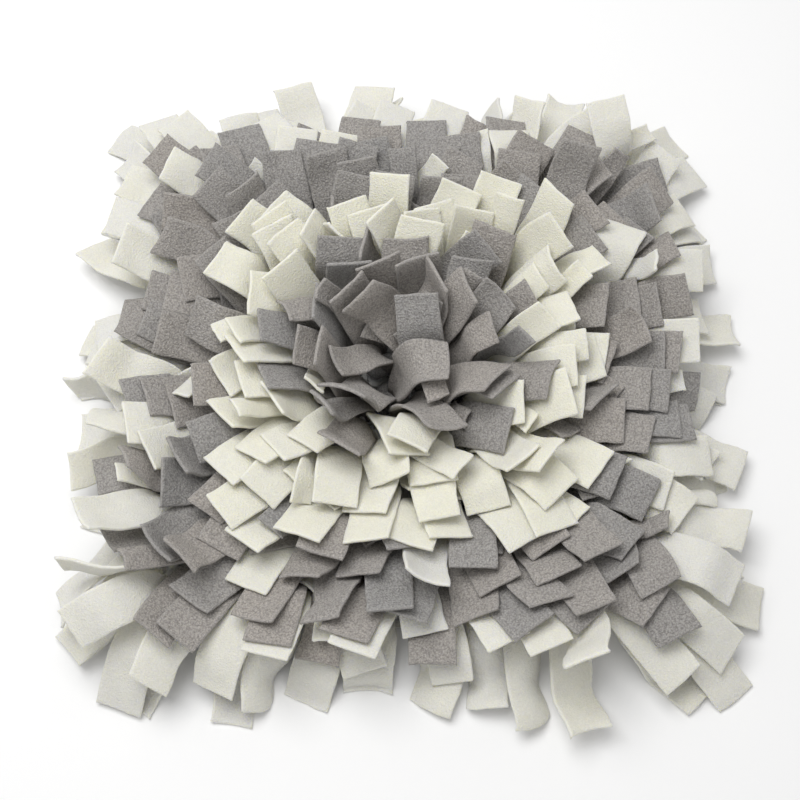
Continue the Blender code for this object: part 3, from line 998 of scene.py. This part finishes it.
class MAT_PG_fleece(bpy.types.PropertyGroup):
    """The fleece and how its cut strips curl."""

    grey: Colour(name="Grey", description="Colour of the grey fleece", default=(0.40, 0.385, 0.37))
    cream: Colour(name="Cream", description="Colour of the cream fleece", default=(0.865, 0.845, 0.75))
    tuft_size: Length(name="Tuft size", description="Size of a tuft", min=0.0002, default=0.0009)
    twist: FloatProperty(name="Twist", description="A strip's twist, in degrees", min=0, default=38)
    sway: Length(name="Sway", description="How far an end strays from its line", min=0, default=0.008)
    cupping: FloatProperty(
        name="Cupping", description="How far a strip bends edge to edge, in degrees", min=0, default=104
    )
    root_fold: FloatProperty(
        name="Root fold", description="How far a strip folds at its knot, in degrees", min=0, default=90
    )
    tip_curl: FloatProperty(
        name="Tip curl", description="How far an end curls, in degrees", min=0, default=48
    )
    corner_curl: Length(name="Corner curl", description="Rise of an end's corner", default=0.005)
    end_skew: FloatProperty(
        name="End skew", description="How far an end is cut out of square, in degrees", default=6
    )
    thinness: FloatProperty(
        name="Thinness", description="Shown thickness, as a share of the one laid", min=0.3, default=1.35
    )
    edge_wave: Length(name="Edge wave", description="Unevenness of the cut edges", default=0.0002)
    seed: IntProperty(name="Seed", description="Picks the curls and the tones of the strips", default=3)


class MAT_PG_net(bpy.types.PropertyGroup):
    """The net that carries the strips."""

    openings: IntProperty(name="Openings", description="Openings along one side", min=2, default=24)
    side: Length(name="Side", description="Side of the net", default=0.34)
    bar_width: Length(name="Bar width", description="Width of a bar", default=0.0036)
    thickness: Length(name="Thickness", description="Thickness of the net", default=0.0026)
    underside: Length(name="Underside", description="Height of the net's underside", default=0.002)
    colour: Colour(name="Colour", description="Colour of the net", default=(0.60, 0.60, 0.57))


class MAT_PG_stage(bpy.types.PropertyGroup):
    """The floor, the lights and the camera."""

    distance: Length(name="Distance", description="Camera to the mat", default=0.95)
    elevation: FloatProperty(
        name="Elevation", description="Camera above the horizon, in degrees", default=67
    )
    pixels_per_mm: FloatProperty(
        name="Scale", description="Pixels per millimetre at the mat's middle", default=1.45
    )
    aim_x: Length(name="Aim X", description="Where the camera looks", default=-0.0035)
    aim_y: Length(name="Aim Y", description="Where the camera looks", default=-0.01)
    sky: FloatProperty(name="Sky", description="Strength of the light from all round", default=0.48)
    lamp: FloatProperty(name="Lamp", description="Power of the lamp", subtype="POWER", default=12.7)


# ---- the pieces

PALE = (0.98, 0.98, 0.98)
FLOOR_SIZE, FLOOR_HEIGHT = 8, -0.0003
LAMP_SIZE, LAMP_PLACE = 0.9, (-0.32, 0.22, 1.3)
SENSOR_WIDTH, PICTURE_WIDTH = 36, 800


class MAT_OT_net(bpy.types.Operator):
    """The open square net, flat on the floor"""

    bl_idname = "snuffle.net"
    bl_label = "Net"

    def execute(self, context):
        net = context.scene.mat_net
        sizes = {
            "Openings": net.openings,
            "Side": net.side,
            "Bar Width": net.bar_width,
            "Thickness": net.thickness,
            "Underside": net.underside,
        }
        dress = net_material("net_cord", tuple(net.colour))
        made = made_by(net_tree(sizes), "mat_net", [(0, 0, 0)], dress)
        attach(made, "root")
        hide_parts("net")
        return {"FINISHED"}


class MAT_OT_knots(bpy.types.Operator):
    """The knots on top of the net and the strips' bights under its bars"""

    bl_idname = "snuffle.knots"
    bl_label = "Knots"

    def execute(self, context):
        knots, bights = knot_tree(), bight_tree()
        middle = (LAYER_BOTTOM + KNOT_TOP) / 2
        spots = {"grey": [], "cream": []}
        for i in range(len(RINGS)):
            for number, (x, y) in enumerate(knots_of(i)):
                stray = number in STRAYS.get(i, ())
                spots["cream" if stray else RINGS[piece_of(i, y)].fleece].append((x, y))
        for colour_name, places in spots.items():
            dress = fleece_of(colour_name)
            high, low = ([(x, y, z) for x, y in places] for z in (middle, BIGHT_HEIGHT))
            made = made_by(knots, f"knots_{colour_name}", high, dress)
            under = made_by(bights, f"bights_{colour_name}", low, dress)
            for piece in (made, under):
                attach(piece, "root")
        return {"FINISHED"}


class MAT_OT_tails(bpy.types.Operator):
    """Every strip's two tails, laid down and curled as far as their neighbours allow"""

    bl_idname = "snuffle.tails"
    bl_label = "Tails"

    def execute(self, context):
        cloth = context.scene.mat_fleece
        rng = random.Random(cloth.seed)
        by_ring = lay_tails()
        sheets = curl_freely(by_ring, np.linspace(0, 1, GRID_ALONG), rng, cloth)
        fine = finer(sheets, FINE_ROWS, FINE_COLUMNS)
        cut_edges(fine, cloth)
        thick = [[cut.half_thick for cut in made] for tails in by_ring for made, _, _ in tails]
        half_thick = np.stack([np.interp(FINE_ROWS, STATIONS, t) for t in thick]) * cloth.thinness
        fine[..., 2] = np.maximum(fine[..., 2], half_thick[:, :, None] + FLOOR_GAP)
        each = [(k, stray) for k, tails in enumerate(by_ring) for _, _, stray in tails]
        shades = np.array([rng.uniform(*RINGS[k].tones) for k, _ in each])
        kept_in = np.array([len(RINGS) - 1 if stray else k for k, stray in each])
        for k, ring in enumerate(RINGS):
            part = kept_in == k
            made = thick_strips(f"tails_{ring.name}", fine[part], half_thick[part], shades[part])
            made.data.materials.append(fleece_of(ring.fleece))
            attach(made, "root")
            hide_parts(ring.name)
        return {"FINISHED"}


class MAT_OT_stage(bpy.types.Operator):
    """The pale floor, the soft lights and the camera"""

    bl_idname = "snuffle.stage"
    bl_label = "Stage"

    def execute(self, context):
        scene = context.scene
        stage = scene.mat_stage
        bpy.ops.mesh.primitive_plane_add(size=FLOOR_SIZE, location=(0, 0, FLOOR_HEIGHT))
        floor = context.object
        floor.name = "floor"
        pale, _, _ = principled("pale_floor", PALE, Base_Color=(*PALE, 1), Roughness=0.9)
        floor.data.materials.append(pale)
        scene.world = bpy.data.worlds.new("studio")
        scene.world.use_nodes = True
        sky = scene.world.node_tree.nodes["Background"].inputs
        sky["Color"].default_value = (1, 1, 1, 1)
        sky["Strength"].default_value = stage.sky
        lamp = bpy.data.lights.new("soft_lamp", "AREA")
        lamp.energy = stage.lamp
        lamp.size = LAMP_SIZE
        light = bpy.data.objects.new("soft_lamp", lamp)
        light.location = LAMP_PLACE
        camera = bpy.data.cameras.new("camera")
        camera.sensor_width = SENSOR_WIDTH
        camera.lens = SENSOR_WIDTH * stage.pixels_per_mm * 1000 * stage.distance / PICTURE_WIDTH
        eye = bpy.data.objects.new("camera", camera)
        lift = math.radians(stage.elevation)
        back = Vector((0, -math.cos(lift), math.sin(lift)))
        eye.location = Vector((stage.aim_x, stage.aim_y, 0)) + back * stage.distance
        for thing, way in ((light, -light.location), (eye, -back)):
            scene.collection.objects.link(thing)
            thing.rotation_mode = "QUATERNION"
            thing.rotation_quaternion = way.to_track_quat("-Z", "Y")
        scene.camera = eye
        scene.view_settings.view_transform = "Standard"
        return {"FINISHED"}


class MAT_PT_panel(bpy.types.Panel):
    """The snuffle mat's pieces and settings"""

    bl_label = "Snuffle mat"
    bl_idname = "MAT_PT_snuffle"
    bl_space_type = "VIEW_3D"
    bl_region_type = "UI"
    bl_category = "Snuffle mat"

    def draw(self, context):
        layout = self.layout
        for settings, operators in PANEL_ROWS:
            box = layout.box()
            group = getattr(context.scene, settings)
            for name in group.bl_rna.properties.keys():
                if name not in ("rna_type", "name"):
                    box.prop(group, name)
            for operator in operators:
                box.operator(operator.bl_idname)


SETTINGS = (("mat_fleece", MAT_PG_fleece), ("mat_net", MAT_PG_net), ("mat_stage", MAT_PG_stage))
OPERATORS = (MAT_OT_net, MAT_OT_knots, MAT_OT_tails, MAT_OT_stage)
PANEL_ROWS = (
    ("mat_fleece", (MAT_OT_tails, MAT_OT_knots)),
    ("mat_net", (MAT_OT_net,)),
    ("mat_stage", (MAT_OT_stage,)),
)
CLASSES = (*(group for _, group in SETTINGS), *OPERATORS, MAT_PT_panel)


def register():
    for made in CLASSES:
        bpy.utils.register_class(made)
    for name, group in SETTINGS:
        setattr(bpy.types.Scene, name, PointerProperty(type=group))


def unregister():
    for name, _ in SETTINGS:
        delattr(bpy.types.Scene, name)
    for made in reversed(CLASSES):
        bpy.utils.unregister_class(made)


def clear_start():
    """Takes out what a new file holds, but not the frame."""
    for name in ("Cube", "Light", "Camera"):
        found = bpy.data.objects.get(name)
        if found and "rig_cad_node" not in found:
            bpy.data.objects.remove(found)


def main():
    clear_start()
    register()
    bpy.ops.snuffle.net()
    bpy.ops.snuffle.knots()
    bpy.ops.snuffle.tails()
    bpy.ops.snuffle.stage()


if __name__ == "__main__":
    main()
